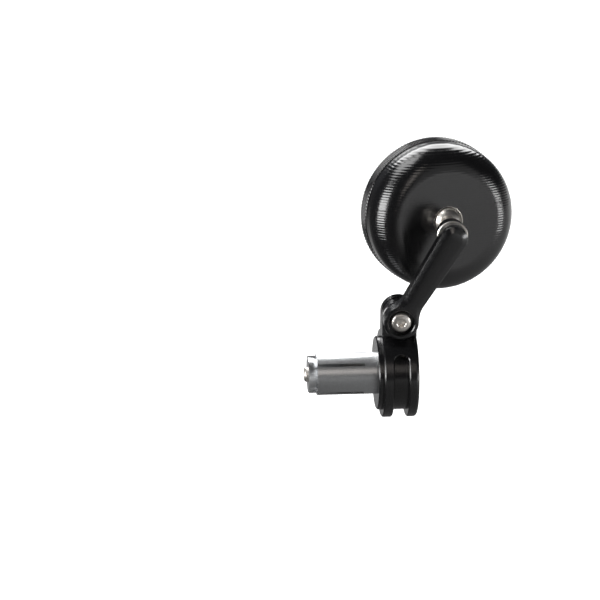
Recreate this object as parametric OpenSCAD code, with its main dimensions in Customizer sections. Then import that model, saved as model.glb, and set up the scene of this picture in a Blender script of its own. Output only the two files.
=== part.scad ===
// Motorcycle bar end mirror: an expanding plug for the open end of the handlebar, a split
// clamp that grips the plug, a swinging arm, and a round head on a ball joint.
// Millimetres. +X runs outboard along the handlebar, +Z up along the clamp's ears, and +Y
// towards the rider, the way the glass looks. The origin is on the bar's axis at its end face.

/* [Bar end plug] */
// Diameter of the plug's body, which the clamp grips
plug_d = 30; // [27:0.5:34]
// Chamfer of the plug's outboard edge
plug_chamfer = 0.8; // [0.3:0.1:1.5]
// Outside diameter of the expander sleeve inside the bar
sleeve_d = 17; // [16:0.1:19]
// Length of the expander sleeve
sleeve_len = 24; // [20:0.5:34]
// Wall of the expander sleeve at its slit end
sleeve_wall = 2.1; // [1.6:0.1:2.6]
// Width of the slits in the expander sleeve
slit_w = 1.2; // [0.8:0.1:2]
// Turn of the slits about the bar's axis
slit_turn = 45; // [0:5:90]
// Length of the sleeve's unslit end
slit_root = 5; // [3:0.5:8]
// Length of the cone nut
cone_len = 13; // [11:0.5:15]
// How far the cone nut stands out of the sleeve
cone_out = 3.5; // [2:0.5:6]
// Growth of the cone's radius for each millimetre of its length
cone_slope = 0.25; // [0.15:0.01:0.28]
// Thread diameter of the long bolt
bolt_d = 6; // [5:0.5:6.5]
// Head diameter of the long bolt
bolt_head_d = 10; // [8.5:0.1:11]
// Head height of the long bolt
bolt_head_h = 6; // [4:0.1:6.3]
// Width across the flats of the long bolt's socket
bolt_key = 5; // [4:0.5:5.5]
// How far the long bolt's head lies below the plug's end
bolt_sunk = 0.8; // [0.4:0.1:2]
// Thickness of the washer under the long bolt's head
washer_t = 1.2; // [0.8:0.1:1.5]

/* [Clamp] */
// Gap between the end of the bar and the clamp
clamp_gap = 2; // [1:0.1:3]
// Width of the clamp along the bar
clamp_w = 14; // [12:0.5:18]
// Wall of the clamp's ring
clamp_wall = 3; // [2.5:0.1:5]
// Rounding of the ring's outboard edge
clamp_round = 1.3; // [0.5:0.1:1.8]
// Chamfer of the ring's inboard edge and of the ears
clamp_chamfer = 0.5; // [0.2:0.1:0.8]
// Width of the window round the ring
window_w = 6; // [4:0.5:8]
// Height of the window's ends above the level of the bar, as an angle
window_rise = 35; // [10:1:45]
// Chamfer of the window's edge
window_chamfer = 0.4; // [0.2:0.1:0.6]
// Thickness of each ear
ear_t = 4; // [3:0.5:7]
// Gap between the ears
ear_gap = 1.3; // [0.8:0.1:2.5]
// Height of the arm's boss above the top of the ring
ear_rise = 0.2; // [0.2:0.1:6]

/* [Pivot] */
// Thread diameter of the pivot bolt
pivot_d = 5; // [4:0.5:5.5]
// Head diameter of the pivot bolt
pivot_head_d = 8.5; // [8:0.1:9.4]
// Height of the pivot bolt's head
pivot_head_h = 3; // [2.4:0.1:3.4]
// Width across the flats of the pivot bolt's socket
pivot_key = 3; // [2.5:0.1:4]
// Gap round the pivot bolt's head in the arm
pivot_gap = 1; // [0.5:0.1:1.4]
// How far the pivot bolt's head lies below the arm's front
pivot_sunk = 0.2; // [0.1:0.1:0.5]
// Thickness of the friction washer between arm and ear
friction_t = 0.5; // [0.3:0.1:1]

/* [Arm] */
// Distance from the pivot to the ball stud
arm_len = 40; // [34:1:60]
// Angle of the arm above the level, outboard
arm_lean = 59.3; // [40:0.1:80]
// Thickness of the arm
arm_t = 6; // [5.8:0.1:8]
// Wall of the arm's boss round the pivot bolt's head
boss_wall = 1.75; // [1.4:0.05:2.5]
// Radius of the arm's tip
tip_r = 5.5; // [5:0.1:6.5]
// Half width of the arm at its waist
waist_r = 4.8; // [4:0.1:5.5]
// Distance from the pivot to the waist
waist_at = 17; // [13:0.5:20]
// Chamfer along the arm's long edges and tip
arm_chamfer = 2; // [1:0.1:2.4]
// Chamfer round the arm's boss
boss_chamfer = 0.8; // [0.3:0.1:1.2]
// Chamfer of the arm's rear edges
rear_chamfer = 0.4; // [0.2:0.1:0.6]

/* [Ball stud] */
// Diameter of the ball
ball_d = 12; // [11.6:0.1:12.2]
// Distance from the arm's rear face to the ball's centre
stud_reach = 20; // [18:0.5:26]
// Diameter of the stud's foot against the arm
foot_d = 12.4; // [11:0.1:13]
// Length of the stud's foot
foot_len = 6; // [4:0.5:7]
// How much the foot narrows towards the ball, in radius
foot_taper = 0.6; // [0.2:0.1:1]
// Slope between the foot and the neck
foot_slope = 1.5; // [0.5:0.1:2]
// Diameter of the stud's neck
neck_d = 6.8; // [5.5:0.1:7]
// Thread diameter of the stud in the arm
stud_d = 6; // [5:0.5:6]
// Metal left in front of the stud's hole in the arm
stud_floor = 1.2; // [1:0.1:2.4]

/* [Mirror head] */
// Outside diameter of the head's shell
head_d = 60.4; // [56:0.1:74]
// Depth of the head from its back to the bezel's front
head_depth = 22; // [21.6:0.1:26]
// Turn of the head outboard, as it is set
head_turn = 11; // [-18:0.5:18]
// Tip of the glass downwards, as it is set
head_tip = 5.5; // [-18:0.5:18]
// Rounding of the head's back edge
back_round = 10.5; // [7:0.1:11]
// Wall of the head's back
back_wall = 2.5; // [2:0.1:3.5]
// Wall of the head's side
side_wall = 3; // [2.6:0.1:4]
// Distance from the back face in to the ball's centre
ball_depth = 3; // [2.8:0.1:3.2]
// Thickness of the lip that holds the rear seat
lip_t = 1; // [0.8:0.1:1.1]
// Gap between the ball and the edge of the hole in the back
hole_gap = 0.1; // [0.05:0.05:0.2]
// Chamfer of that hole
hole_chamfer = 0.35; // [0.2:0.05:0.5]
// Wall of the core round the ball joint
core_wall = 5.5; // [5:0.1:7]

/* [Ball joint] */
// Front face of the rear seat, behind the ball's centre
rear_seat_top = 0.3; // [0.2:0.1:0.6]
// Thickness of the front seat
seat_t = 1.5; // [1.2:0.1:1.6]
// Distance from the ball's centre to the front seat's rim
seat_rim = 4.5; // [4.5:0.1:5]
// Distance from the ball's centre to the thrust cup's rim
cup_rim = 2; // [1.5:0.1:2.4]
// Wall of the thrust cup round the front seat
cup_wall = 1.35; // [1:0.05:2]
// Thickness of the thrust cup in front of the front seat
cup_roof = 2.2; // [1.6:0.1:2.6]
// Thickness of one spring washer
spring_t = 0.8; // [0.6:0.1:0.9]
// Cone height of one spring washer
spring_rise = 0.4; // [0.3:0.1:0.5]
// Thickness of the retainer plate
plate_t = 1.5; // [1.2:0.1:1.8]
// Number of the retainer's screws
screw_count = 3; // [3:1:6]
// Thread diameter of the retainer's screws
screw_d = 2.5; // [2:0.1:2.6]
// Head diameter of the retainer's screws
screw_head_d = 4.4; // [3.8:0.1:4.6]
// Head height of the retainer's screws
screw_head_h = 1.4; // [1.1:0.1:1.5]
// Width across the flats of the retainer screws' sockets
screw_key = 1.5; // [1.2:0.1:2]
// Length of the retainer's screws under the head
screw_len = 6; // [5:0.5:8]

/* [Bezel and glass] */
// How far the bezel stands out past the shell's side
bezel_proud = 0.3; // [0.1:0.1:0.6]
// Length of the bezel along the head's axis
bezel_len = 7.1; // [6.8:0.1:7.8]
// Groove between bezel and shell
bezel_groove = 0.5; // [0.3:0.1:0.8]
// Wall of the bezel round the shell's spigot
bezel_wall = 1.6; // [1.3:0.1:1.8]
// Width of the bezel's lip over the glass
lip_w = 1.4; // [1:0.1:2]
// Thickness of the bezel's lip
lip_h = 0.7; // [0.7:0.1:1.1]
// Chamfer of the bezel's outer edges
bezel_chamfer = 0.4; // [0.2:0.1:0.5]
// Thickness of the glass
glass_t = 2; // [1.8:0.1:2.4]
// Radius of the glass's convex front
glass_r = 700; // [650:50:1400]
// Thickness of the seal behind the glass
seal_t = 0.9; // [0.6:0.1:1]
// Width of the seal behind the glass
seal_w = 1.5; // [1.2:0.1:1.6]
// Thickness of the pad on the back of the glass
pad_t = 0.6; // [0.4:0.1:0.7]

/* [Fits] */
// Radial clearance of a running fit
run_fit = 0.05; // [0.02:0.01:0.08]
// Radial clearance of a bolt in a plain hole
bolt_fit = 0.15; // [0.1:0.05:0.3]
// Radial gap between the glass and the bezel
glass_gap = 0.3; // [0.1:0.1:0.5]
// Gap between the pad and the seal
pad_gap = 0.4; // [0.2:0.1:0.8]

/* [Hidden] */

$fn = 96;
// Roundness of the arm's blended shapes, and of the small screws
coarse_fn = 32;
// Roundness of the glass's large curve
curve_fn = 720;
// Smallest overlap that lets a cutter pass a face
eps = 0.01;
// How far a cutter stands out of a piece
over = 1;
// Reach of a cutter that goes right through
far = 100;
// Broken edge of a turned or drilled piece
edge = 0.3;
// Spare depth of a blind hole
spare = 0.2;

// Clamp. The plug ends level with it, outboard
plug_len = clamp_gap + clamp_w;
plug_r = plug_d / 2;
clamp_mid_x = clamp_gap + clamp_w / 2;
clamp_bore_r = plug_r + run_fit;
clamp_r = clamp_bore_r + clamp_wall;
ear_out = ear_gap / 2 + ear_t;
ear_r = clamp_w / 2;

// Plug. The cone nut's wide end lies past the sleeve, on its inboard side
plug_cbore = washer_t + bolt_head_h + bolt_sunk;
cbore_fit = 0.6;
sleeve_r = sleeve_d / 2;
cone_r = sleeve_r - sleeve_wall - run_fit + cone_slope * cone_out;
cone_end_x = -(sleeve_len + cone_out);
cone_spare = 1;
key_fit = 0.1;
key_in = 0.5;
bolt_r = bolt_d / 2;
bolt_under_x = plug_len - bolt_head_h - bolt_sunk;
bolt_past = 1.5;

// Pivot and arm. The arm's rear face lies on the friction washer
pivot_r = pivot_d / 2;
pivot_cbore = pivot_head_h + pivot_sunk;
pivot_cbore_r = pivot_head_d / 2 + pivot_gap;
dome_share = 0.65;
boss_r = pivot_cbore_r + boss_wall;
pivot_z = clamp_r + ear_rise + boss_r;
friction_in = 0.5;
arm_rear_y = -(ear_out + friction_t);
arm_front_y = arm_rear_y - arm_t;
arm_angle = 90 - arm_lean;

// Ball
ball_r = ball_d / 2;
stud_r = stud_d / 2;
stud_hole = arm_t - stud_floor;

// Head, measured from the ball's centre towards the glass
back_z = -ball_depth;
head_r = head_d / 2;
front_z = back_z + head_depth;
bezel_z = front_z - bezel_len;
shoulder_z = bezel_z - bezel_groove;
bezel_r = head_r + bezel_proud;
spigot_r = bezel_r - bezel_wall - run_fit;
hollow_r = head_r - side_wall;
hole_r = sqrt(pow(ball_r, 2) - pow(ball_depth - lip_t, 2)) + hole_gap;

// Ball joint, from the front seat outwards
cup_r = ball_r + run_fit + seat_t;
seat_r = cup_r + run_fit + cup_wall;
pocket_r = seat_r + run_fit;
cup_top = cup_r + run_fit + cup_roof;
core_r = pocket_r + core_wall;
spring_gap = 0.3;
spring_in = 0.5;
plate_z = cup_top + 2 * (spring_t + spring_rise);
plate_in = 0.5;
plate_hole = 0.4;
screw_ring = (pocket_r + core_r) / 2;

// Glass. Its convex front lies behind the inner edge of the bezel's lip, and its rear face
// follows the front about the same centre
bezel_bore_r = spigot_r + run_fit;
lip_r = bezel_bore_r - lip_w;
glass_edge_r = spigot_r - glass_gap;
glass_rear_r = glass_r - glass_t;
glass_centre_z = front_z - lip_h - run_fit - sqrt(pow(glass_r, 2) - pow(lip_r, 2));
glass_rim_z = glass_centre_z + sqrt(pow(glass_rear_r, 2) - pow(glass_edge_r, 2));
spigot_z = glass_rim_z - seal_t;
pad_r = glass_edge_r - seal_w - pad_gap;

// Lays an axis along +X that was drawn along +Z
module along_x(at = 0) {
    translate([at, 0, 0])
        rotate([0, 90, 0])
            children();
}

// Lays an axis along +Y, towards the rider, that was drawn along +Z
module along_y(at = 0) {
    translate([0, at, 0])
        rotate([-90, 0, 0])
            children();
}

// Moves to the pivot's axis
module at_pivot() {
    translate([clamp_mid_x, 0, pivot_z])
        children();
}

// Turns so that +Z runs from the pivot to the ball stud
module at_arm() {
    at_pivot()
        rotate([0, arm_angle, 0])
            children();
}

// Moves to the ball's centre and lays +Z along the head's axis, towards the glass
module at_head() {
    at_pivot()
        translate([arm_len * sin(arm_angle), arm_rear_y + stud_reach, arm_len * cos(arm_angle)])
            rotate([0, 0, head_turn])
                rotate([-head_tip, 0, 0])
                    rotate([-90, 0, 0])
                        children();
}

// A disc with a chamfer at each end
module chamfered_disc(r, h, low, high) {
    cylinder(r1 = r - low, r2 = r, h = low);
    translate([0, 0, low - eps])
        cylinder(r = r, h = h - low - high + 2 * eps);
    translate([0, 0, h - high])
        cylinder(r1 = r, r2 = r - high, h = high);
}

// A cutter for a round hole right through a piece that stands on the XY plane
module through_hole(r, h) {
    translate([0, 0, -over])
        cylinder(r = r, h = h + 2 * over);
}

// A six-sided socket, as a cutter
module hex_socket(across, depth) {
    cylinder(r = across / 2 / cos(30), h = depth, $fn = 6);
}

// Repeats a shape at each of the retainer's screws
module at_screws() {
    for (i = [0 : screw_count - 1])
        rotate([0, 0, i * 360 / screw_count])
            translate([screw_ring, 0, 0])
                children();
}

module bar_plug() color([0.07, 0.07, 0.075]) {
    along_x()
        difference() {
            chamfered_disc(plug_r, plug_len, clamp_chamfer, plug_chamfer);
            through_hole(bolt_r + bolt_fit, plug_len);
            translate([0, 0, plug_len - plug_cbore])
                cylinder(r = bolt_head_d / 2 + cbore_fit, h = plug_cbore + over);
        }
}

// Radius of the cone nut at a distance from its wide end
function cone_r_at(d) = cone_r - cone_slope * d;

// The sleeve's cone follows the nut's, a running fit larger, and ends a little past it
module expander_sleeve() color([0.62, 0.63, 0.65]) {
    cone_end = cone_len + cone_spare;
    along_x(-sleeve_len)
        difference() {
            cylinder(r = sleeve_r, h = sleeve_len);
            through_hole(bolt_r + bolt_fit, sleeve_len);
            translate([0, 0, -eps])
                cylinder(
                    r1 = cone_r_at(cone_out) + run_fit,
                    r2 = cone_r_at(cone_end) + run_fit,
                    h = cone_end - cone_out + eps
                );
            for (turn = [0, 90])
                rotate([0, 0, turn + slit_turn])
                    translate([-far / 2, -slit_w / 2, -over])
                        cube([far, slit_w, sleeve_len + over - slit_root]);
        }
}

// Two keys on the nut run in the sleeve's slits and stop it from turning
module expander_cone() color([0.62, 0.63, 0.65]) {
    key_r = sleeve_r - key_in;
    key_w = slit_w - 2 * key_fit;
    along_x(cone_end_x)
        difference() {
            union() {
                cylinder(r1 = cone_r, r2 = cone_r_at(cone_len), h = cone_len);
                intersection() {
                    rotate([0, 0, slit_turn])
                        translate([-key_w / 2, -key_r, 0])
                            cube([key_w, 2 * key_r, cone_len - over]);
                    cylinder(r = key_r, h = cone_len);
                }
            }
            through_hole(bolt_r + run_fit, cone_len);
        }
}

module plug_washer() color([0.7, 0.7, 0.71]) {
    along_x(plug_len - plug_cbore)
        difference() {
            cylinder(r = (bolt_head_d + cbore_fit) / 2, h = washer_t);
            through_hole(bolt_r + bolt_fit, washer_t);
        }
}

module plug_bolt() color([0.72, 0.72, 0.73]) {
    shank = bolt_under_x - cone_end_x + bolt_past;
    difference() {
        union() {
            along_x(bolt_under_x)
                chamfered_disc(bolt_head_d / 2, bolt_head_h, edge / 3, 2 * edge);
            along_x(bolt_under_x - shank)
                chamfered_disc(bolt_r, shank + eps, 2 * edge, edge / 3);
        }
        along_x(bolt_under_x + bolt_head_h / 2)
            hex_socket(bolt_key, bolt_head_h);
    }
}

// Half section of the clamp's ring: radius to the right, the bar's direction upwards
module ring_section() {
    difference() {
        translate([clamp_bore_r, 0])
            square([clamp_wall, clamp_w]);
        translate([clamp_r, 0])
            rotate([0, 0, 45])
                square(clamp_chamfer * sqrt(2), center = true);
        translate([clamp_r - clamp_round, clamp_w - clamp_round])
            difference() {
                square(clamp_round + over);
                circle(r = clamp_round);
            }
    }
}

// Both ears as one block, with the outer edges chamfered, before the split
module ear_block() {
    c = clamp_chamfer;
    at_pivot()
        along_y(-ear_out)
            chamfered_disc(ear_r, 2 * ear_out, c, c);
    translate([clamp_mid_x, 0, 0])
        linear_extrude(pivot_z)
            polygon([
                [-ear_r + c, -ear_out], [ear_r - c, -ear_out], [ear_r, -ear_out + c],
                [ear_r, ear_out - c], [ear_r - c, ear_out], [-ear_r + c, ear_out],
                [-ear_r, ear_out - c], [-ear_r, -ear_out + c]
            ]);
}

// The window runs round the ring below the ears, with a round end on each side
module window_cutter() {
    half = window_w / 2;
    c = window_chamfer;
    low_r = clamp_bore_r - over;
    translate([clamp_mid_x, 0, 0])
        rotate([0, -90, 0])
            rotate([0, 0, 90 - window_rise])
                rotate_extrude(angle = 180 + 2 * window_rise)
                    polygon([
                        [low_r, -half], [clamp_r - c, -half],
                        [clamp_r + c, -half - 2 * c], [clamp_r + c, half + 2 * c],
                        [clamp_r - c, half], [low_r, half]
                    ]);
    for (side = [-1, 1])
        translate([clamp_mid_x, 0, 0])
            rotate([side * (90 - window_rise), 0, 0]) {
                translate([0, 0, low_r - over])
                    cylinder(r = half, h = far);
                translate([0, 0, clamp_r - c])
                    cylinder(r1 = half, r2 = half + 2 * c, h = 2 * c);
            }
}

// One piece: ring, two ears split by a slot, and a hole across them for the pivot bolt, plain
// in the near ear and tapped in the far one
module clamp_ring() color([0.05, 0.05, 0.055]) {
    difference() {
        union() {
            along_x(clamp_gap)
                rotate_extrude()
                    ring_section();
            ear_block();
        }
        along_x(-over)
            cylinder(r = clamp_bore_r, h = far);
        translate([-over, -ear_gap / 2, 0])
            cube([far, ear_gap, far]);
        window_cutter();
        at_pivot()
            along_y(-far)
                cylinder(r = pivot_r + bolt_fit, h = far);
        at_pivot()
            along_y(-over)
                cylinder(r = pivot_r + run_fit, h = far);
    }
}

// Domed head with a six-sided socket, sunk in the arm's counterbore
module pivot_bolt() color([0.78, 0.77, 0.75]) {
    under_y = arm_front_y + pivot_cbore;
    head_r = pivot_head_d / 2;
    dome = pivot_head_h * dome_share;
    rim = pivot_head_h - dome;
    dome_r = (head_r * head_r + dome * dome) / (2 * dome);
    at_pivot()
        difference() {
            union() {
                along_y(under_y)
                    cylinder(r = pivot_r, h = ear_out - under_y);
                translate([0, under_y, 0])
                    rotate([90, 0, 0])
                        rotate_extrude() {
                            square([head_r, rim]);
                            intersection() {
                                square([head_r, pivot_head_h]);
                                translate([0, pivot_head_h - dome_r])
                                    circle(r = dome_r, $fn = 2 * $fn);
                            }
                        }
            }
            along_y(under_y - pivot_head_h - over)
                hex_socket(pivot_key, over + pivot_head_h / 2);
        }
}

module friction_washer() color([0.1, 0.1, 0.1]) {
    at_pivot()
        along_y(arm_rear_y)
            difference() {
                cylinder(r = boss_r - friction_in, h = friction_t);
                through_hole(pivot_r + bolt_fit, friction_t);
            }
}

// The arm tapers from its tip to a waist and widens again into the boss
module arm() color([0.045, 0.045, 0.05]) {
    difference() {
        union() {
            hull() {
                arm_disc(arm_len, tip_r, arm_chamfer);
                arm_disc(waist_at, waist_r, arm_chamfer);
            }
            hull() {
                arm_disc(waist_at, waist_r, arm_chamfer);
                arm_disc(0, boss_r, boss_chamfer);
            }
        }
        at_pivot()
            along_y(-far)
                cylinder(r = pivot_r + run_fit, h = 2 * far);
        at_pivot()
            along_y(arm_front_y + pivot_cbore - far)
                cylinder(r = pivot_cbore_r, h = far);
        at_pivot()
            along_y(arm_front_y)
                cylinder(r1 = pivot_cbore_r + edge, r2 = pivot_cbore_r, h = edge);
        at_arm()
            translate([0, 0, arm_len])
                along_y(arm_rear_y - stud_hole)
                    cylinder(r = stud_r + run_fit, h = far);
    }
}

// One round end of the arm, at a distance from the pivot
module arm_disc(at, r, c) {
    at_arm()
        translate([0, 0, at])
            along_y(arm_front_y)
                chamfered_disc(r, arm_t, c, rear_chamfer, $fn = coarse_fn);
}

// Half section of the ball stud: the arm's rear face is at 0, the ball upwards
module stud_section() {
    foot_r = foot_d / 2;
    foot_end_r = foot_r - foot_taper;
    neck_r = neck_d / 2;
    thread = stud_hole - spare;
    translate([0, -thread])
        square([stud_r, thread + eps]);
    polygon([
        [0, 0], [foot_r - edge, 0], [foot_r, edge],
        [foot_end_r, foot_len - edge], [foot_end_r - edge, foot_len],
        [neck_r + foot_slope, foot_len], [neck_r, foot_len + foot_slope],
        [neck_r, stud_reach], [0, stud_reach]
    ]);
    translate([0, stud_reach])
        intersection() {
            circle(r = ball_r);
            translate([0, -ball_r])
                square(2 * ball_r);
        }
}

module ball_stud() color([0.8, 0.79, 0.77]) {
    at_arm()
        translate([0, 0, arm_len])
            along_y(arm_rear_y)
                rotate_extrude()
                    stud_section();
}

// Half section of a round cup or ring that is bored out by a sphere about the ball's centre
module sphere_bored(inner, outer, low, high) {
    difference() {
        translate([0, low])
            square([outer, high - low]);
        circle(r = inner);
    }
}

// A spherical cup between ball and thrust cup, free to slide on both
module front_seat() color([0.85, 0.84, 0.8]) {
    at_head()
        rotate_extrude()
            intersection() {
                sphere_bored(ball_r + run_fit, pocket_r, seat_rim, cup_top);
                circle(r = cup_r);
            }
}

module thrust_cup() color([0.66, 0.66, 0.68]) {
    at_head()
        rotate_extrude()
            sphere_bored(cup_r + run_fit, seat_r, cup_rim, cup_top);
}

module rear_seat() color([0.85, 0.84, 0.8]) {
    at_head()
        rotate_extrude()
            sphere_bored(ball_r + run_fit, seat_r, back_z + lip_t, -rear_seat_top);
}

// Outline of a round-backed pot: flat back at low, side at r, rounding by e, open at high
module pot_section(r, low, high, e) {
    translate([0, low])
        square([r - e, high - low]);
    translate([0, low + e])
        square([r, high - low - e]);
    translate([r - e, low + e])
        intersection() {
            circle(r = e);
            translate([0, -e])
                square(e);
        }
}

// Section of the round hollow between the core and the side wall
module hollow_section() {
    low = back_z + back_wall;
    e = back_round - back_wall;
    difference() {
        pot_section(hollow_r, low, low + far, e);
        square([2 * core_r, 4 * far], center = true);
    }
}

// The turned shell: round back, a core for the ball joint and a spigot for the bezel
module head_shell() color([0.05, 0.05, 0.055]) {
    inner_z = back_z + back_wall;
    at_head()
        difference() {
            union() {
                rotate_extrude()
                    difference() {
                        pot_section(head_r, back_z, shoulder_z, back_round);
                        hollow_section();
                        translate([0, inner_z])
                            square([core_r, far]);
                    }
                difference() {
                    translate([0, 0, shoulder_z - over])
                        cylinder(r = spigot_r, h = spigot_z - shoulder_z + over);
                    translate([0, 0, shoulder_z - 2 * over])
                        cylinder(r = hollow_r, h = far);
                }
                translate([0, 0, inner_z - eps])
                    cylinder(r = core_r, h = plate_z - inner_z + eps);
            }
            translate([0, 0, back_z - over])
                cylinder(r = hole_r, h = far);
            translate([0, 0, back_z - eps])
                cylinder(r1 = hole_r + hole_chamfer + eps, r2 = hole_r, h = hole_chamfer + eps);
            translate([0, 0, back_z + lip_t])
                cylinder(r = pocket_r, h = far);
            at_screws()
                translate([0, 0, plate_z + plate_t - screw_len - spare])
                    cylinder(r = screw_d / 2 + run_fit, h = far, $fn = coarse_fn);
        }
}

// Two cone-shaped spring washers, wide ends together
module spring_washers() color([0.55, 0.56, 0.58]) {
    inner = seat_r * spring_in;
    outer = seat_r - spring_gap;
    half = spring_t + spring_rise;
    at_head()
        translate([0, 0, cup_top])
            rotate_extrude() {
                polygon([
                    [inner, 0], [outer, spring_rise], [outer, half], [inner, spring_t]
                ]);
                polygon([
                    [inner, 2 * half - spring_t], [outer, half], [outer, half + spring_t],
                    [inner, 2 * half]
                ]);
            }
}

module retainer_plate() color([0.6, 0.61, 0.63]) {
    at_head()
        translate([0, 0, plate_z])
            difference() {
                cylinder(r = core_r - plate_in, h = plate_t);
                through_hole(seat_r * plate_hole, plate_t);
                at_screws()
                    through_hole(screw_d / 2 + bolt_fit, plate_t, $fn = coarse_fn);
            }
}

module retainer_screws() color([0.7, 0.7, 0.71]) {
    at_head()
        at_screws()
            translate([0, 0, plate_z + plate_t])
                retainer_screw();
}

module retainer_screw() {
    difference() {
        union() {
            chamfered_disc(screw_head_d / 2, screw_head_h, edge / 3, edge, $fn = coarse_fn);
            translate([0, 0, -screw_len])
                cylinder(r = screw_d / 2, h = screw_len + eps, $fn = coarse_fn);
        }
        translate([0, 0, screw_head_h / 2])
            hex_socket(screw_key, screw_head_h);
    }
}

// The bezel screws over the shell's spigot, and its lip holds the glass
module bezel_ring() color([0.06, 0.06, 0.065]) {
    c = bezel_chamfer;
    at_head()
        rotate_extrude()
            polygon([
                [bezel_bore_r, bezel_z], [bezel_r - c, bezel_z], [bezel_r, bezel_z + c],
                [bezel_r, front_z - c], [bezel_r - c, front_z], [lip_r, front_z],
                [lip_r, front_z - lip_h], [bezel_bore_r, front_z - lip_h]
            ]);
}

module bezel_seal() color([0.08, 0.08, 0.08]) {
    at_head()
        translate([0, 0, spigot_z])
            difference() {
                cylinder(r = glass_edge_r, h = seal_t);
                through_hole(glass_edge_r - seal_w, seal_t);
            }
}

// Half section of a round sheet between two spheres about the glass's centre of curvature
module curved_sheet(r, inner, outer) {
    intersection() {
        square([r, far]);
        translate([0, glass_centre_z])
            difference() {
                circle(r = outer, $fn = curve_fn);
                circle(r = inner, $fn = curve_fn);
            }
    }
}

module glass_pad() color([0.12, 0.12, 0.12]) {
    at_head()
        rotate_extrude()
            curved_sheet(pad_r, glass_rear_r - pad_t, glass_rear_r);
}

module mirror_glass() color([0.75, 0.8, 0.85]) {
    at_head()
        rotate_extrude()
            curved_sheet(glass_edge_r, glass_rear_r, glass_r);
}

bar_plug();
expander_sleeve();
expander_cone();
plug_washer();
plug_bolt();
clamp_ring();
pivot_bolt();
friction_washer();
arm();
ball_stud();
front_seat();
thrust_cup();
head_shell();
rear_seat();
spring_washers();
retainer_plate();
retainer_screws();
bezel_ring();
bezel_seal();
glass_pad();
mirror_glass();
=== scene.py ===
import math

import bmesh
import bpy
from mathutils import Matrix, Vector


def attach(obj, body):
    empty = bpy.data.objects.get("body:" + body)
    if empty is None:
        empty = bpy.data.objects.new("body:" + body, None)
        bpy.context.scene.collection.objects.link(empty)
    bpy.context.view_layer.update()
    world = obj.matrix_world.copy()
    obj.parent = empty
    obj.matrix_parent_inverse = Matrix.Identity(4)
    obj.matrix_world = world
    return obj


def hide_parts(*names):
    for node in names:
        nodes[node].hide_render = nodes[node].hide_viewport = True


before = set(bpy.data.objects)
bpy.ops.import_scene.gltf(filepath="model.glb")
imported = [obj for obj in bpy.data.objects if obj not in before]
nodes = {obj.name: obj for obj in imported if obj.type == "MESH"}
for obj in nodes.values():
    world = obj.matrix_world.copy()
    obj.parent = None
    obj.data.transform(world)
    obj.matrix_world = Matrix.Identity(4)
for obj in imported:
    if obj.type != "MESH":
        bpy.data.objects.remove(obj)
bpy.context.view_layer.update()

# Camera. A direction is an azimuth and an elevation in degrees, seen from the part: azimuth 0 is
# -Y, where the camera stands, and a positive azimuth goes towards +X
CAMERA_AZIMUTH, CAMERA_ELEVATION, CAMERA_ROLL = -4.8, 20.55, 0.3
CAMERA_DISTANCE = 1.2
CAMERA_LENS, CAMERA_SENSOR = 177.78, 36.0
CLIP_START, CLIP_END = 0.05, 50.0
# The photograph's frame in pixels, and the pixel where the frame's origin lies in it
FRAME_SIZE = 600
ORIGIN_IN_FRAME = (375.4, 372.6)

# Lamps are soft boxes round a point in the middle of the part, in metres
SUBJECT = Vector((0.02, 0.0, 0.04))
LAMP_DISTANCE = 1.2
WHITE = (1.0, 1.0, 1.0)
WARM = (1.0, 0.92, 0.86)

# Room: its strength in reflections before and behind the part, and as fill light. The first
# turns to the second while a ray's direction goes through ROOM_TURN along Y
ROOM_COLOUR = (0.9, 0.93, 1.0, 1.0)
ROOM_FRONT, ROOM_BEHIND, ROOM_FILL = 0.04, 0.12, 0.20
ROOM_TURN = (0.55, 1.0)

# Floor: pale to the camera. In reflections it is dark on the left, and paler on the right and in
# the corner behind, which the mirror glass shows. Places are in metres
FLOOR_Z, FLOOR_HALF = -0.12, 12.0
PAPER = (0.5, 0.5, 0.5, 1.0)
FLOOR_GLOW = 0.85
GLOSS_LEFT, GLOSS_RIGHT, GLOSS_BEHIND = 0.05, 0.6, 0.6
RIGHT_X = (-0.1, 0.45)
BEHIND_Y = (0.12, 0.45)
CORNER_X = (-0.35, -0.05)

# Clouds vary colour and roughness, and grain is the fine bump
CLOUD_DETAIL, GRAIN_DETAIL = 4.0, 3.0
CLOUD_RANGE = (0.3, 0.7)
LEAST_ROUGHNESS = 0.02

# Points nearer than this are one, and edges shorter than this are dropped, in metres
SAME_POINT, SHORT_EDGE = 1e-7, 1e-8

# From here on, sizes are in millimetres and angles in degrees, as the CAD has them
MM = 0.001
TINY = 1e-6
CLAMP_MID_X, PIVOT_Z = 9.0, 25.25
ARM_REAR_Y, ARM_FRONT_Y = -5.15, -11.15
ARM_LEN, ARM_LEAN = 40.0, 59.3

# Ball stud: from the arm's rear to the ball's centre, and the foot with its bare edges
STUD_REACH = 20.0
FOOT_LEN, FOOT_EDGE = 6.0, 0.31

# Head, in its own frame: Z runs from the back to the glass, with the ball's centre at 0
HEAD_TURN, HEAD_TIP = 11.0, 5.5
HEAD_R, BACK_Z, SHOULDER_Z, FRONT_Z = 30.2, -3.0, 11.4, 19.0
BACK_ROUND, BACK_WALL = 10.5, 2.5
HOLE_R, HOLE_CHAMFER, HOLE_LIP = 5.757, 0.35, 1.0
POCKET_R, CORE_R, CORE_TOP_Z = 9.0, 14.5, 12.2
HOLLOW_R, SPIGOT_R, SPIGOT_Z = 27.2, 28.85, 15.31
SPIGOT_EDGE, SPIGOT_RELIEF = 0.3, 0.4
INSIDE_ROUND, BEND_STEPS = 128, 10
SHELL_SMOOTH = 32
# Slack in finding the faces of the hole's chamfer: sideways, in height, and the least lean
CHAMFER_AROUND, CHAMFER_ABOVE, CHAMFER_FLAT = 0.05, 0.02, 0.95

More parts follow.
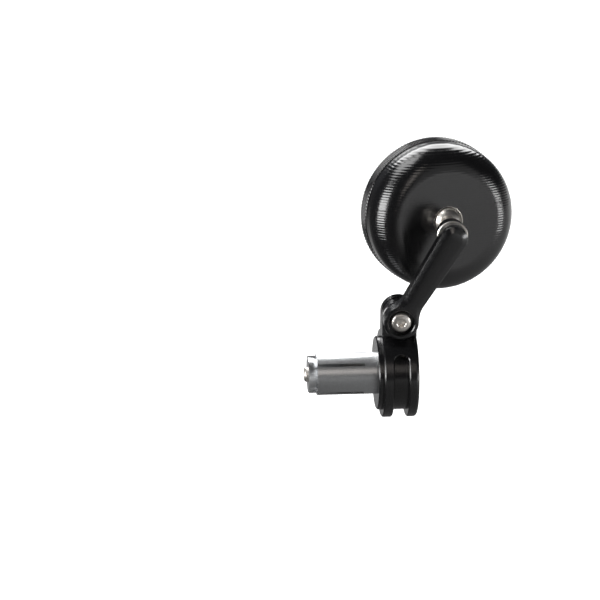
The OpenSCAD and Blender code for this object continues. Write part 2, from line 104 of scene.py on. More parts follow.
# Milling lines on the head's back. They are shallow on the flat, deeper on the rounding, and fade
# before the shoulder and the hole. The skin is made of level rows, a few to a line
LINE_PITCH, LINE_DEPTH, FLAT_DEPTH = 1.0, 0.085, 0.016
LINE_SHARPNESS, LINE_RISE = 0.7, 2.2
PLAIN_SHOULDER, SHOULDER_FADE, HOLE_FADE = 0.6, 1.5, 0.6
ROWS_A_LINE, ROW_POINTS = 4, 56
ROW_END, ROW_GAP = 0.6, 0.015
HOLE_ROWS, HOLE_ROW_DEGREES = 12, 5
RIM_ROWS, RIM_ROW_DEGREES = 12, 1.1
BACK_KNOTS, SIDE_KNOTS = 240, 12

# Bezel ring, with a knurl of diamonds. KNURL_TOP is half a flat top in steps of their grid
BEZEL_R, BEZEL_Z, BEZEL_CHAMFER = 30.5, 11.9, 0.4
BEZEL_BORE_R, BORE_EDGE = 28.9, 0.2
LIP_R, LIP_H, LIP_EDGE = 27.5, 0.7, 0.15
KNURL_ROUND, KNURL_LONG = 140, 3
# CREST_BAND picks the crest faces that get the painted highlight
KNURL_DEPTH, KNURL_TOP, CREST_BAND = 0.60, 0.30, 0.05
BEZEL_SMOOTH = 12

# Glass
GLASS_R, GLASS_FRONT_Z, GLASS_THICK = 28.55, 18.79, 2.0
GLASS_CURVE_R, GLASS_CHAMFER = 700.0, 0.15
GLASS_ROUND, GLASS_RINGS = 128, 7
GLASS_SMOOTH = 20

# Arm. Its chamfer is broad along the bar and narrow round the boss
TIP_R, BOSS_R, SIDE_R, BLEND_R = 5.5, 7.0, 4.55, 12.0
ARM_CHAMFER, BOSS_CHAMFER, REAR_CHAMFER = 2.2, 0.8, 0.4
CHAMFER_SLOPE = 0.58
EDGE_SOFT, SOFT_IN, SOFT_DOWN = 0.12, 0.7, 0.4
BOLT_BORE_R, BOLT_BORE_DEPTH, BOLT_BORE_EDGE = 5.25, 3.2, 0.3
PIVOT_BORE_R = 2.55
STUD_BORE_R, STUD_BORE_DEPTH = 3.05, 4.8
TIP_STEPS, SIDE_STEPS, BLEND_STEPS, BOSS_STEPS = 12, 9, 14, 22
BORE_ROUND = 64
ARM_SMOOTH = 24

# Pivot bolt. The dome is given as radius and depth below the top
BOLT_HEAD_R, BOLT_HEAD_TOP, UNDER_HEAD_Y, HEAD_EDGE = 4.25, -10.95, -7.95, 0.25
BOLT_DOME = (
    (2.6, 0.06), (3.1, 0.18), (3.5, 0.36), (3.85, 0.63), (4.1, 0.98), (4.22, 1.4), (4.25, 1.8),
)
BOLT_SHANK_R, BOLT_END_Y, BOLT_END_CHAMFER = 2.5, 4.65, 0.4
SOCKET_FLAT_R, SOCKET_MOUTH_R, SOCKET_DEPTH, SOCKET_CHAMFER = 1.5, 1.95, 1.7, 0.22
BOLT_ROUND = 72
BOLT_SMOOTH = 28


# Camera and lamps
def direction(azimuth, elevation):
    a, e = math.radians(azimuth), math.radians(elevation)
    return Vector((math.sin(a) * math.cos(e), -math.cos(a) * math.cos(e), math.sin(e)))


def placed_in_scene(name, data):
    made = bpy.data.objects.new(name, data)
    bpy.context.scene.collection.objects.link(made)
    return made


def make_camera():
    """The photograph's camera, shifted sideways so that the origin meets its pixel."""
    data = bpy.data.cameras.new("camera")
    data.lens = CAMERA_LENS
    data.sensor_width = CAMERA_SENSOR
    data.clip_start = CLIP_START
    data.clip_end = CLIP_END
    camera = placed_in_scene("camera", data)
    back = direction(CAMERA_AZIMUTH, CAMERA_ELEVATION)
    level = Vector((0, 0, 1)).cross(back).normalized()
    right = Matrix.Rotation(math.radians(CAMERA_ROLL), 3, back) @ level
    up = back.cross(right)
    turn = Matrix((right, up, back)).transposed().to_4x4()
    pixel = CAMERA_DISTANCE * CAMERA_SENSOR / CAMERA_LENS / FRAME_SIZE
    aside = (FRAME_SIZE / 2 - ORIGIN_IN_FRAME[0]) * pixel
    above = (ORIGIN_IN_FRAME[1] - FRAME_SIZE / 2) * pixel
    place = back * CAMERA_DISTANCE + right * aside + up * above
    camera.matrix_world = Matrix.Translation(place) @ turn
    bpy.context.scene.camera = camera


def soft_box(name, azimuth, elevation, width, height, radiance,
             distance=LAMP_DISTANCE, colour=WHITE):
    """An area lamp that faces the part. The camera doesn't see it, but reflections do."""
    data = bpy.data.lights.new(name, "AREA")
    data.shape = "RECTANGLE"
    data.size = width
    data.size_y = height
    data.color = colour
    data.energy = radiance * math.pi * width * height
    lamp = placed_in_scene(name, data)
    towards = direction(azimuth, elevation)
    lamp.location = SUBJECT + towards * distance
    lamp.rotation_mode = "QUATERNION"
    lamp.rotation_quaternion = towards.to_track_quat("Z", "Y")
    lamp.visible_camera = False


# Node trees
def wired(owner):
    """The empty node tree of a material or of the world."""
    owner.use_nodes = True
    tree = owner.node_tree
    tree.nodes.clear()
    return tree


def add(tree, kind, inputs, **settings):
    """A new node. Each input is given a value, or the socket that it is linked to."""
    made = tree.nodes.new("ShaderNode" + kind)
    for name, value in settings.items():
        setattr(made, name, value)
    for name, value in inputs.items():
        if isinstance(value, bpy.types.NodeSocket):
            tree.links.new(value, made.inputs[name])
        else:
            made.inputs[name].default_value = value
    return made


def ramped(tree, value, span, low=0.0, high=1.0):
    """A socket that goes from low to high while the value goes through the span."""
    return add(tree, "MapRange", {
        "Value": value, "From Min": span[0], "From Max": span[1], "To Min": low, "To Max": high,
    }).outputs[0]


def combined(tree, operation, first, second):
    return add(tree, "Math", {0: first, 1: second}, operation=operation).outputs[0]


def by_ray(tree, to_camera, in_gloss, as_light):
    """Three shaders in one: for camera rays, for reflections, and for all other light."""
    path = add(tree, "LightPath", {})
    shiny = combined(tree, "MAXIMUM", path.outputs["Is Glossy Ray"],
                     path.outputs["Is Transmission Ray"])
    unseen = add(tree, "MixShader", {0: shiny, 1: as_light.outputs[0], 2: in_gloss.outputs[0]})
    return add(tree, "MixShader", {
        0: path.outputs["Is Camera Ray"], 1: unseen.outputs[0], 2: to_camera.outputs[0],
    }).outputs[0]


def make_world():
    world = bpy.data.worlds.new("studio")
    bpy.context.scene.world = world
    tree = wired(world)
    where = add(tree, "TexCoord", {})
    split = add(tree, "SeparateXYZ", {0: where.outputs["Generated"]})
    strength = ramped(tree, split.outputs["Y"], ROOM_TURN, ROOM_FRONT, ROOM_BEHIND)
    room = add(tree, "Background", {"Color": ROOM_COLOUR, "Strength": strength})
    fill = add(tree, "Background", {"Strength": ROOM_FILL})
    backdrop = add(tree, "Background", {"Strength": 1.0})
    add(tree, "OutputWorld", {"Surface": by_ray(tree, backdrop, room, fill)})


def make_floor():
    mesh = bpy.data.meshes.new("floor")
    h = FLOOR_HALF
    corners = [(-h, -h, FLOOR_Z), (h, -h, FLOOR_Z), (h, h, FLOOR_Z), (-h, h, FLOOR_Z)]
    mesh.from_pydata(corners, [], [(0, 1, 2, 3)])
    floor = placed_in_scene("floor", mesh)
    material = bpy.data.materials.new("floor_paper")
    tree = wired(material)
    paper = add(tree, "BsdfDiffuse", {"Color": PAPER})
    glow = add(tree, "Emission", {"Strength": FLOOR_GLOW})
    bright = add(tree, "AddShader", {0: paper.outputs[0], 1: glow.outputs[0]})
    where = add(tree, "TexCoord", {})
    split = add(tree, "SeparateXYZ", {0: where.outputs["Object"]})
    x, y = split.outputs["X"], split.outputs["Y"]
    sideways = ramped(tree, x, RIGHT_X, GLOSS_LEFT, GLOSS_RIGHT)
    corner = combined(tree, "MULTIPLY", ramped(tree, y, BEHIND_Y, 0.0, GLOSS_BEHIND),
                      ramped(tree, x, CORNER_X))
    mirrored = add(tree, "Emission", {"Strength": combined(tree, "ADD", sideways, corner)})
    add(tree, "OutputMaterial", {"Surface": by_ray(tree, bright, mirrored, paper)})
    mesh.materials.append(material)


# Materials
def finish_material(name, colour, metallic, roughness, ior=1.5, rough_scale=400.0,
                    rough_span=0.06, bump_scale=2500.0, bump=0.00002, tint=0.15, coat=0.0):
    """A surface whose colour and roughness vary in clouds, with a fine grain of bump metres."""
    material = bpy.data.materials.new(name)
    tree = wired(material)
    where = add(tree, "TexCoord", {}).outputs["Object"]
    cloud = add(tree, "TexNoise", {
        "Vector": where, "Scale": rough_scale, "Detail": CLOUD_DETAIL,
    }).outputs["Fac"]
    rough = ramped(tree, cloud, CLOUD_RANGE, max(LEAST_ROUGHNESS, roughness - rough_span),
                   roughness + rough_span)
    tinted = add(tree, "ValToRGB", {"Fac": cloud})
    ends = ([c * (1 - tint) for c in colour], [min(1.0, c * (1 + tint)) for c in colour])
    for stop, position, end in zip(tinted.color_ramp.elements, CLOUD_RANGE, ends):
        stop.position = position
        stop.color = (*end, 1)
    shader = add(tree, "BsdfPrincipled", {
        "Base Color": tinted.outputs["Color"], "Metallic": metallic, "Roughness": rough,
        "IOR": ior, "Coat Weight": coat,
    })
    if bump:
        grain = add(tree, "TexNoise", {
            "Vector": where, "Scale": bump_scale, "Detail": GRAIN_DETAIL,
        })
        bumps = add(tree, "Bump", {
            "Height": grain.outputs["Fac"], "Strength": 1.0, "Distance": bump,
        })
        tree.links.new(bumps.outputs[0], shader.inputs["Normal"])
    add(tree, "OutputMaterial", {"Surface": shader.outputs[0]})
    return material


def make_materials():
    """The material of each slot, and two for single faces: a lighter grey painted on the knurl's
    crests as a highlight, and bare_edge.
    """
    black = (0.0045, 0.0045, 0.005)
    anodised = {"rough_scale": 900.0, "rough_span": 0.03}
    return {
        "black_anodised": finish_material(
            "anodised_black", black, 0.0, 0.20, ior=1.70, **anodised),
        "satin_black_anodised": finish_material(
            "anodised_satin", black, 0.0, 0.18, ior=1.70, **anodised),
        "knurled_black_anodised": finish_material(
            "anodised_knurl", (0.005, 0.005, 0.0055), 0.0, 0.16, ior=1.62, **anodised),
        # The knurl's crests: a lighter grey, a painted highlight in place of glints
        "painted_crest_highlight": finish_material(
            "painted_crest_highlight", (0.10, 0.10, 0.104), 0.0, 0.30, ior=1.70, rough_scale=900.0,
            tint=0.3),
        "bare_edge": finish_material("bare_edge", (0.80, 0.79, 0.77), 1.0, 0.30),
        "raw_aluminium": finish_material(
            "aluminium", (0.66, 0.67, 0.68), 1.0, 0.34, rough_scale=1500.0, rough_span=0.04,
            tint=0.05, bump=0.000004),
        "stainless": finish_material(
            "stainless", (0.84, 0.80, 0.75), 1.0, 0.36, rough_span=0.03, tint=0.05,
            bump=0.00001),
        "spring_steel": finish_material("spring_steel", (0.33, 0.34, 0.36), 1.0, 0.34),
        "black_nylon": finish_material("nylon_black", (0.02, 0.02, 0.02), 0.0, 0.5),
        "white_acetal": finish_material("acetal_white", (0.78, 0.77, 0.73), 0.0, 0.4),
        "black_rubber": finish_material("rubber_black", (0.015, 0.015, 0.015), 0.0, 0.7),
        "pad_foam": finish_material(
            "foam_black", (0.03, 0.03, 0.03), 0.0, 0.9, bump_scale=1500.0, bump=0.0002),
        "mirror_glass": finish_material(
            "mirror_silver", (0.86, 0.88, 0.90), 1.0, 0.025, rough_scale=60.0,
            rough_span=0.004, tint=0.012, bump=0, coat=1.0),
    }


def dress_nodes(materials):
    """Each CAD node carries one material named by its slot, which is changed for the real one."""
    for node in nodes.values():
        node.data.materials[0] = materials[node.data.materials[0].name]
    # The stud's foot is anodised like the arm, and its edges are bare
    stud = nodes["ball_stud"].data
    stud.materials.append(materials["black_anodised"])
    for face in stud.polygons:
        y = face.center.y / MM - ARM_REAR_Y
        if FOOT_EDGE < y < FOOT_LEN - FOOT_EDGE:
            face.material_index = 1


# Pieces
def settle(piece, body, node):
    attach(piece, body)
    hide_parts(node)
    return piece


def linked(name, vertices, faces, materials, body, node, slot):
    """A piece from points in millimetres, with its normals made to point outwards."""
    mesh = bpy.data.meshes.new(name)
    mesh.from_pydata([Vector(v) * MM for v in vertices], [], faces)
    work = bmesh.new()
    work.from_mesh(mesh)
    bmesh.ops.remove_doubles(work, verts=work.verts, dist=SAME_POINT)
    bmesh.ops.dissolve_degenerate(work, edges=work.edges, dist=SHORT_EDGE)
    bmesh.ops.recalc_face_normals(work, faces=work.faces)
    work.to_mesh(mesh)
    work.free()
    mesh.materials.append(materials[slot])
    return settle(placed_in_scene(name, mesh), body, node)


def smooth_by_angle(mesh, degrees):
    """Smooth faces, with the edges sharper than the angle left sharp."""
    limit = math.radians(degrees)
    work = bmesh.new()
    work.from_mesh(mesh)
    for face in work.faces:
        face.smooth = True
    for edge in work.edges:
        edge.smooth = len(edge.link_faces) == 2 and edge.calc_face_angle(0.0) < limit
    work.to_mesh(mesh)
    work.free()


def at_head():
    """From the head's own frame to the part's, both in millimetres."""
    lean = math.radians(90 - ARM_LEAN)
    centre = Vector((
        CLAMP_MID_X + ARM_LEN * math.sin(lean),
        ARM_REAR_Y + STUD_REACH,
        PIVOT_Z + ARM_LEN * math.cos(lean),
    ))
    turn = Matrix.Rotation(math.radians(HEAD_TURN), 4, "Z")
    tip = Matrix.Rotation(math.radians(-HEAD_TIP), 4, "X")
    lay = Matrix.Rotation(math.radians(-90), 4, "X")
    return Matrix.Translation(centre) @ turn @ tip @ lay


def head_piece(name, vertices, faces, materials, node, slot):
    place = at_head()
    vertices = [place @ Vector(v) for v in vertices]
    return linked(name, vertices, faces, materials, "head", node, slot)


# Rings
def on_circle(r, k, count):
    a = 2 * math.pi * k / count
    return r * math.cos(a), r * math.sin(a)


def turned(points, count):
    """Vertices and faces of a section of (radius, height) turned about the Z axis."""
    vertices = [(*on_circle(r, k, count), z) for r, z in points for k in range(count)]
    return vertices, between_rings(len(points), count)


def between_rings(rings, count):
    """Faces between rings that are numbered one after the other."""
    faces = []
    for i in range(rings - 1):
        for k in range(count):
            a, b = i * count, (i + 1) * count
            n = (k + 1) % count
            faces.append((a + k, a + n, b + n, b + k))
    return faces


def angle_ring(vertices, ids):
    """(angle, index) of a ring's vertices in rising angle."""
    def angle(k):
        return math.atan2(vertices[k][1], vertices[k][0])

    return [(angle(k), k) for k in sorted(set(ids), key=angle)]


def zipped(first, second):
    """Faces between two closed rings, each a list of (angle, index) in rising angle."""
    faces = []
    i = j = 0
    n, m = len(first), len(second)
    turn = 2 * math.pi
    while i < n or j < m:
        a_next = first[(i + 1) % n][0] + turn * ((i + 1) // n)
        b_next = second[(j + 1) % m][0] + turn * ((j + 1) // m)
        if j >= m or (i < n and a_next <= b_next):
            faces.append((first[i % n][1], first[(i + 1) % n][1], second[j % m][1]))
            i += 1
        else:
            faces.append((first[i % n][1], second[(j + 1) % m][1], second[j % m][1]))
            j += 1
    return faces


def add_inside(vertices, faces, section, count, first_ring, last_ring):
    """Turn a section and close it against an outer skin's two rings of (angle, index)."""
    base = len(vertices)
    more, inner = turned(section, count)
    vertices.extend(more)
    faces.extend(tuple(base + k for k in f) for f in inner)

    def ring(i):
        return angle_ring(vertices, [base + i * count + k for k in range(count)])

    faces.extend(zipped(first_ring, ring(0)))
    faces.extend(zipped(last_ring, ring(len(section) - 1)))


# Head shell
def between(value, low=0.0, high=1.0):
    return max(low, min(high, value))


def back_height(rho):
    flat = HEAD_R - BACK_ROUND
    if rho <= flat:
        return BACK_Z
    d = min(rho - flat, BACK_ROUND)
    return BACK_Z + BACK_ROUND - math.sqrt(max(0.0, BACK_ROUND ** 2 - d ** 2))


def skin_point(u, v, side_z=None):
    """A point of the back's skin with its milling line, or of the side when side_z is given."""
    rho = math.hypot(u, v)
    flat = HEAD_R - BACK_ROUND
    z = back_height(rho) if side_z is None else side_z
    slope = between((rho - flat) / BACK_ROUND) if side_z is None else 1.0
    out = Vector((u / rho, v / rho, 0)) if rho else Vector((0, 0, 0))
    normal = out * slope - Vector((0, 0, math.sqrt(1 - slope * slope)))
    depth = FLAT_DEPTH + (LINE_DEPTH - FLAT_DEPTH) * min(1.0, slope * LINE_RISE)
    depth *= between((SHOULDER_Z - PLAIN_SHOULDER - z) / SHOULDER_FADE)
    depth *= between((rho - HOLE_R - HOLE_CHAMFER) / HOLE_FADE)
    wave = 0.5 - 0.5 * math.cos(2 * math.pi * v / LINE_PITCH)
    return Vector((u, v, z)) - normal * depth * wave ** LINE_SHARPNESS


def half_row(v, hole_edge, count):
    """Points of one half row, evenly spaced from the hole's edge or the middle to the shoulder."""
    reach = math.sqrt(max(0.0, HEAD_R ** 2 - v ** 2))
    start = math.sqrt(max(0.0, hole_edge ** 2 - v ** 2)) if abs(v) < hole_edge else 0.0
    side_low = BACK_Z + BACK_ROUND
    # On the back a knot has no height of its own, on the side it has
    knots = [(start + (reach - start) * math.sin(0.5 * math.pi * i / BACK_KNOTS), None)
             for i in range(BACK_KNOTS + 1)]
    knots += [(reach, side_low + (SHOULDER_Z - side_low) * i / SIDE_KNOTS)
              for i in range(1, SIDE_KNOTS + 1)]
    places = [Vector((u, v, back_height(math.hypot(u, v)) if z is None else z))
              for u, z in knots]
    length = [0.0]
    for a, b in zip(places, places[1:]):
        length.append(length[-1] + (b - a).length)
    out = []
    j = 0
    for i in range(count + 1):
        want = length[-1] * i / count
        while j < len(length) - 2 and length[j + 1] < want:
            j += 1
        t = between((want - length[j]) / ((length[j + 1] - length[j]) or 1.0))
        (ua, za), (ub, zb) = knots[j], knots[j + 1]
        if zb is None:
            out.append((ua + (ub - ua) * t, None))
        else:
            za = side_low if za is None else za
            out.append((reach, za + (zb - za) * t))
    return out


def row_heights(edge_r):
    """Heights of the rows: a few to a milling line, and more at the hole's edge and the rim."""
    step = LINE_PITCH / ROWS_A_LINE
    last = int((HEAD_R - ROW_END) / step)
    heights = {round(k * step, 4) for k in range(-last, last + 1)} | {edge_r, -edge_r}
    for k in range(1, HOLE_ROWS):
        h = round(edge_r * math.sin(math.radians(90 - HOLE_ROW_DEGREES * k)), 4)
        heights |= {h, -h}
    for k in range(RIM_ROWS):
        h = HEAD_R * math.cos(math.radians(k * RIM_ROW_DEGREES))
        heights |= {h, -h}
    rows = sorted(heights)
    kept = rows[:1]
    for h in rows[1:]:
        if h - kept[-1] > ROW_GAP:
            kept.append(h)
    kept[-1] = HEAD_R
    return kept


def shell_inside():
    """The section from the hole's chamfer through the pocket and the hollow to the spigot."""
    floor_z = BACK_Z + BACK_WALL
    e = BACK_ROUND - BACK_WALL
    bend = []
    for k in range(BEND_STEPS + 1):
        a = math.radians(90 * k / BEND_STEPS)
        bend.append((HOLLOW_R - e + e * math.sin(a), floor_z + e - e * math.cos(a)))
    return [
        (HOLE_R, BACK_Z + HOLE_CHAMFER), (HOLE_R, BACK_Z + HOLE_LIP),
        (POCKET_R, BACK_Z + HOLE_LIP), (POCKET_R, CORE_TOP_Z), (CORE_R, CORE_TOP_Z),
        (CORE_R, floor_z), *bend, (HOLLOW_R, SPIGOT_Z), (SPIGOT_R - SPIGOT_EDGE, SPIGOT_Z),
        (SPIGOT_R, SPIGOT_Z - SPIGOT_EDGE), (SPIGOT_R, SHOULDER_Z + SPIGOT_RELIEF),
        (SPIGOT_R - SPIGOT_EDGE, SHOULDER_Z),
    ]


def make_head_shell(materials):
    edge_r = HOLE_R + HOLE_CHAMFER
    rows = row_heights(edge_r)
    vertices, faces = [], []
    index = {}

    def put(point):
        key = (round(point[0], 6), round(point[1], 6), round(point[2], 6))
        if key not in index:
            index[key] = len(vertices)
            vertices.append(tuple(point))
        return index[key]

    grid = []
    for v in rows:
        half = half_row(v, edge_r, ROW_POINTS)
        right = [put(skin_point(u, v, z)) for u, z in half]
        left = [put(skin_point(-u, v, z)) for u, z in half]
        grid.append((left, right))
    for (left_a, right_a), (left_b, right_b) in zip(grid, grid[1:]):
        for side_a, side_b in ((left_a, left_b), (right_a, right_b)):
            for i in range(ROW_POINTS):
                quad = [side_a[i], side_a[i + 1], side_b[i + 1], side_b[i]]
                quad = [q for k, q in enumerate(quad) if q not in quad[:k]]
                if len(quad) > 2:
                    faces.append(tuple(quad))
    beside_hole = [row for row, v in zip(grid, rows) if abs(v) <= edge_r + TINY]
    hole = angle_ring(vertices, [side[0] for row in beside_hole for side in row])
    shoulder = angle_ring(vertices, [side[-1] for row in grid for side in row])
    add_inside(vertices, faces, shell_inside(), INSIDE_ROUND, hole, shoulder)
    shell = head_piece("shell_milled", vertices, faces, materials, "head_shell",
                       "satin_black_anodised")
    smooth_by_angle(shell.data, SHELL_SMOOTH)
    paint_hole_edge(shell, materials)


def paint_hole_edge(shell, materials):
    """The chamfer round the hole is cut after the anodising, so it is bare metal."""
    shell.data.materials.append(materials["bare_edge"])
    place = at_head()
    back = place.inverted()
    axis = place.to_3x3() @ Vector((0, 0, 1))
    for face in shell.data.polygons:
        p = back @ (face.center / MM)
        around = HOLE_R - CHAMFER_AROUND < math.hypot(p.x, p.y) < HOLE_R + HOLE_CHAMFER
        low = p.z < BACK_Z + HOLE_CHAMFER + CHAMFER_ABOVE
        if around and low and abs(face.normal.dot(axis)) < CHAMFER_FLAT:
            face.material_index = 1


# Bezel ring
def bezel_inside():
    outer = BEZEL_R - BEZEL_CHAMFER
    return [
        (outer, FRONT_Z), (LIP_R + LIP_EDGE, FRONT_Z), (LIP_R, FRONT_Z - LIP_EDGE),
        (LIP_R, FRONT_Z - LIP_H), (BEZEL_BORE_R, FRONT_Z - LIP_H),
        (BEZEL_BORE_R, BEZEL_Z + BORE_EDGE), (BEZEL_BORE_R + BORE_EDGE, BEZEL_Z),
        (outer, BEZEL_Z),
    ]


def make_bezel(materials):
    vertices, faces = [], []
    index = {}
    low_z, high_z = BEZEL_Z + BEZEL_CHAMFER, FRONT_Z - BEZEL_CHAMFER
    rows, columns = 2 * KNURL_LONG, 2 * KNURL_ROUND
    row_h = (high_z - low_z) / rows
    low_r = BEZEL_R - KNURL_DEPTH
    t = KNURL_TOP

    def put(i, j, r):
        key = (round(i % columns, 4), round(j, 4))
        if key not in index:
            index[key] = len(vertices)
            vertices.append((*on_circle(r, i, columns), low_z + j * row_h))
        return index[key]

    # A diamond stands on every second place of the grid, and the first and last rows are halves
    for j in range(rows + 1):
        for i in range(columns):
            if (i + j) % 2 == 0:
                continue
            west, east = put(i - 1, j, low_r), put(i + 1, j, low_r)
            top = [put(i - t, j, BEZEL_R), None, put(i + t, j, BEZEL_R), None]
            if j < rows:
                north, top[3] = put(i, j + 1, low_r), put(i, j + t, BEZEL_R)
                faces += [(top[0], top[3], north, west), (top[3], top[2], east, north)]
            if j > 0:
                south, top[1] = put(i, j - 1, low_r), put(i, j - t, BEZEL_R)
                faces += [(top[0], west, south, top[1]), (top[1], south, east, top[2])]
            faces.append(tuple(k for k in top if k is not None))

    def border(j):
        return angle_ring(vertices, [k for (_, row), k in index.items() if abs(row - j) < TINY])

    add_inside(vertices, faces, bezel_inside(), columns, border(rows), border(0))
    bezel = head_piece("bezel_knurled", vertices, faces, materials, "bezel_ring",
                       "knurled_black_anodised")
    smooth_by_angle(bezel.data, BEZEL_SMOOTH)
    # The crests of the knurl are painted a lighter grey than the grooves: a painted highlight,
    # standing in for the knurl's glints
    bezel.data.materials.append(materials["painted_crest_highlight"])
    back = at_head().inverted()
    for face in bezel.data.polygons:
        at = back @ (face.center / MM)
        if math.hypot(at.x, at.y) > BEZEL_R - CREST_BAND and low_z < at.z < high_z:
            face.material_index = 1


# Arm, in its own frame: across the bar, along it from the pivot, and depth along Y
def arm_outline():
    """(across, along, outward normal, chamfer) from the tip down the right side to the end."""
    lean = math.asin((TIP_R - SIDE_R) / ARM_LEN)
    n = (math.cos(lean), math.sin(lean))
    t = (-n[1], n[0])
    points = []
    for k in range(TIP_STEPS + 1):
        a = math.radians(90) - (math.radians(90) - lean) * k / TIP_STEPS
        out = (math.cos(a), math.sin(a))
        points.append((TIP_R * out[0], ARM_LEN + TIP_R * out[1], out, ARM_CHAMFER))
    # The side's line touches the tip's circle. The blend's circle lies outside that line and
    # touches it and the boss: n . centre = line + BLEND_R, and |centre| = BOSS_R + BLEND_R
    line = TIP_R - ARM_LEN * n[1]
    d = line + BLEND_R
    along = math.sqrt((BOSS_R + BLEND_R) ** 2 - d ** 2)
    centre = (n[0] * d + t[0] * along, n[1] * d + t[1] * along)
    foot = (n[0] * line + t[0] * along, n[1] * line + t[1] * along)
    tip_end = (TIP_R * n[0], ARM_LEN + TIP_R * n[1])
    for k in range(1, SIDE_STEPS):
        s = k / SIDE_STEPS
        points.append((tip_end[0] + (foot[0] - tip_end[0]) * s,
                       tip_end[1] + (foot[1] - tip_end[1]) * s, n, ARM_CHAMFER))
    start = math.atan2(-n[1], -n[0]) % (2 * math.pi)
    end = math.atan2(-centre[1], -centre[0]) % (2 * math.pi)
    for k in range(BLEND_STEPS + 1):
        s = k / BLEND_STEPS
        a = start + (end - start) * s
        inward = (math.cos(a), math.sin(a))
        chamfer = ARM_CHAMFER + (BOSS_CHAMFER - ARM_CHAMFER) * s * s * (3 - 2 * s)
        points.append((centre[0] + BLEND_R * inward[0], centre[1] + BLEND_R * inward[1],
                       (-inward[0], -inward[1]), chamfer))
    boss_start = math.atan2(centre[1], centre[0])
    for k in range(1, BOSS_STEPS + 1):
        a = boss_start + (-math.pi / 2 - boss_start) * k / BOSS_STEPS
        out = (math.cos(a), math.sin(a))
        points.append((BOSS_R * out[0], BOSS_R * out[1], out, BOSS_CHAMFER))
    return points


def arm_levels(x, z, n, chamfer):
    """The points of one place of the outline, from the front face over its edge to the rear."""
    near, sink = EDGE_SOFT * SOFT_IN, EDGE_SOFT * SOFT_DOWN
    drop = chamfer * CHAMFER_SLOPE
    steps = [
        (chamfer + EDGE_SOFT, ARM_FRONT_Y),
        (chamfer - near, ARM_FRONT_Y + sink),
        (near, ARM_FRONT_Y + drop - sink),
        (0.0, ARM_FRONT_Y + drop + EDGE_SOFT),
        (0.0, ARM_REAR_Y - REAR_CHAMFER),
        (REAR_CHAMFER, ARM_REAR_Y),
    ]
    return [(x - n[0] * inset, z - n[1] * inset, y) for inset, y in steps]


def make_arm(materials):
    side = arm_outline()
    mirrored = [(-x, z, (-n[0], n[1]), c) for x, z, n, c in side[1:-1]][::-1]
    levels = [arm_levels(*place) for place in side + mirrored]
    count, depth = len(levels), len(levels[0])
    vertices = [place[level] for level in range(depth) for place in levels]
    faces = between_rings(depth, count)

    def add_bore(steps, along):
        """Rings of a stepped bore, given as (radius, depth), and the faces between them."""
        start = len(vertices)
        for r, y in steps:
            for k in range(BORE_ROUND):
                x, z = on_circle(r, k, BORE_ROUND)
                vertices.append((x, along + z, y))
        faces.extend(tuple(start + k for k in f) for f in between_rings(len(steps), BORE_ROUND))
        return [list(range(start + i * BORE_ROUND, start + (i + 1) * BORE_ROUND))
                for i in range(len(steps))]

    seat_y = ARM_FRONT_Y + BOLT_BORE_DEPTH
    bolt = add_bore([
        (BOLT_BORE_R + BOLT_BORE_EDGE, ARM_FRONT_Y), (BOLT_BORE_R, ARM_FRONT_Y + BOLT_BORE_EDGE),
        (BOLT_BORE_R, seat_y), (PIVOT_BORE_R, seat_y), (PIVOT_BORE_R, ARM_REAR_Y),
    ], 0)
    stud = add_bore([(STUD_BORE_R, ARM_REAR_Y), (STUD_BORE_R, ARM_REAR_Y - STUD_BORE_DEPTH)],
                    ARM_LEN)
    faces.append(tuple(stud[-1]))
    work = bmesh.new()
    made = [work.verts.new(v) for v in vertices]
    for f in faces:
        work.faces.new([made[k] for k in f])

    def cap(loops):
        edges = []
        for loop in loops:
            for a, b in zip(loop, loop[1:] + loop[:1]):
                edge = work.edges.get((made[a], made[b]))
                edges.append(edge or work.edges.new((made[a], made[b])))
        bmesh.ops.triangle_fill(work, use_beauty=True, use_dissolve=False, edges=edges)

    cap([list(range(count)), bolt[0]])
    cap([list(range((depth - 1) * count, depth * count)), bolt[-1], stud[0]])
    lean = math.radians(90 - ARM_LEAN)
    across = Vector((math.cos(lean), 0, -math.sin(lean)))
    along = Vector((math.sin(lean), 0, math.cos(lean)))
    pivot = Vector((CLAMP_MID_X, 0, PIVOT_Z))
    for v in work.verts:
        x, z, y = v.co
        v.co = (pivot + across * x + along * z + Vector((0, y, 0))) * MM
    bmesh.ops.recalc_face_normals(work, faces=work.faces)
    mesh = bpy.data.meshes.new("arm_milled")
    work.to_mesh(mesh)
    work.free()
    mesh.materials.append(materials["black_anodised"])
    settle(placed_in_scene("arm_milled", mesh), "arm", "arm")
    smooth_by_angle(mesh, ARM_SMOOTH)


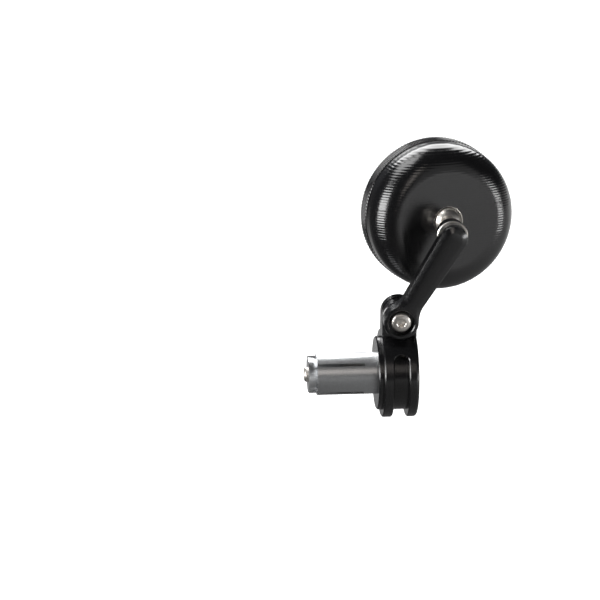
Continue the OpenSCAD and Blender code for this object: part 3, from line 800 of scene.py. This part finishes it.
# Pivot bolt
def make_pivot_bolt(materials):
    """Cap head with a rounded top and a chamfered six-sided socket, and its shank."""
    def six_sided(k):
        part = math.radians(60)
        return SOCKET_FLAT_R / math.cos((2 * math.pi * k / BOLT_ROUND) % part - part / 2)

    # A ring without a radius is the socket's
    rings = [(None, BOLT_HEAD_TOP + SOCKET_DEPTH), (None, BOLT_HEAD_TOP + SOCKET_CHAMFER),
             (SOCKET_MOUTH_R, BOLT_HEAD_TOP)]
    rings += [(r, BOLT_HEAD_TOP + depth) for r, depth in BOLT_DOME]
    rings += [(BOLT_HEAD_R, UNDER_HEAD_Y - HEAD_EDGE), (BOLT_HEAD_R - HEAD_EDGE, UNDER_HEAD_Y),
              (BOLT_SHANK_R, UNDER_HEAD_Y), (BOLT_SHANK_R, BOLT_END_Y - BOLT_END_CHAMFER),
              (BOLT_SHANK_R - BOLT_END_CHAMFER, BOLT_END_Y)]
    vertices = []
    for r, y in rings:
        for k in range(BOLT_ROUND):
            x, z = on_circle(six_sided(k) if r is None else r, k, BOLT_ROUND)
            vertices.append((CLAMP_MID_X + x, y, PIVOT_Z + z))
    faces = between_rings(len(rings), BOLT_ROUND)
    faces.append(tuple(range(BOLT_ROUND)))
    faces.append(tuple(range(len(vertices) - BOLT_ROUND, len(vertices))))
    bolt = linked("pivot_bolt_domed", vertices, faces, materials, "clamp", "pivot_bolt",
                  "stainless")
    smooth_by_angle(bolt.data, BOLT_SMOOTH)


# Glass
def make_glass(materials):
    """The convex glass: two faces of the same curve, with a small chamfer at the front."""
    def curve(r):
        return math.sqrt(GLASS_CURVE_R ** 2 - r ** 2) - GLASS_CURVE_R + GLASS_FRONT_Z

    flat_r = GLASS_R - GLASS_CHAMFER
    radii = [flat_r * (k + 1) / GLASS_RINGS for k in range(GLASS_RINGS)]
    section = [(r, curve(r)) for r in radii]
    section.append((GLASS_R, curve(GLASS_R) - GLASS_CHAMFER))
    section.append((GLASS_R, curve(GLASS_R) - GLASS_THICK))
    section += [(r, curve(r) - GLASS_THICK) for r in radii[-2::-1]]
    vertices, faces = turned(section, GLASS_ROUND)
    last = (len(section) - 1) * GLASS_ROUND
    front, back = len(vertices), len(vertices) + 1
    vertices += [(0, 0, GLASS_FRONT_Z), (0, 0, GLASS_FRONT_Z - GLASS_THICK)]
    for k in range(GLASS_ROUND):
        n = (k + 1) % GLASS_ROUND
        faces += [(front, n, k), (back, last + k, last + n)]
    glass = head_piece("glass_convex", vertices, faces, materials, "mirror_glass",
                       "mirror_glass")
    smooth_by_angle(glass.data, GLASS_SMOOTH)


scene = bpy.context.scene
scene.view_settings.view_transform = "Standard"
make_camera()
make_world()
make_floor()
soft_box("left_box", azimuth=-68, elevation=2, width=0.76, height=1.0, radiance=9.0)
soft_box("right_box", azimuth=62, elevation=-8, width=0.50, height=0.50, radiance=7.6)
soft_box("back_box", azimuth=176, elevation=40, width=1.4, height=0.8, radiance=6.0)
soft_box("left_top", azimuth=-106, elevation=60, width=0.75, height=0.70, radiance=4.0)
soft_box("front_right", azimuth=31, elevation=7, width=0.85, height=1.25, radiance=0.26,
         distance=1.25)
soft_box("front_top", azimuth=-2, elevation=30, width=0.24, height=0.5, radiance=1.8,
         distance=1.3, colour=WARM)
materials = make_materials()
dress_nodes(materials)
make_head_shell(materials)
make_bezel(materials)
make_arm(materials)
make_pivot_bolt(materials)
make_glass(materials)
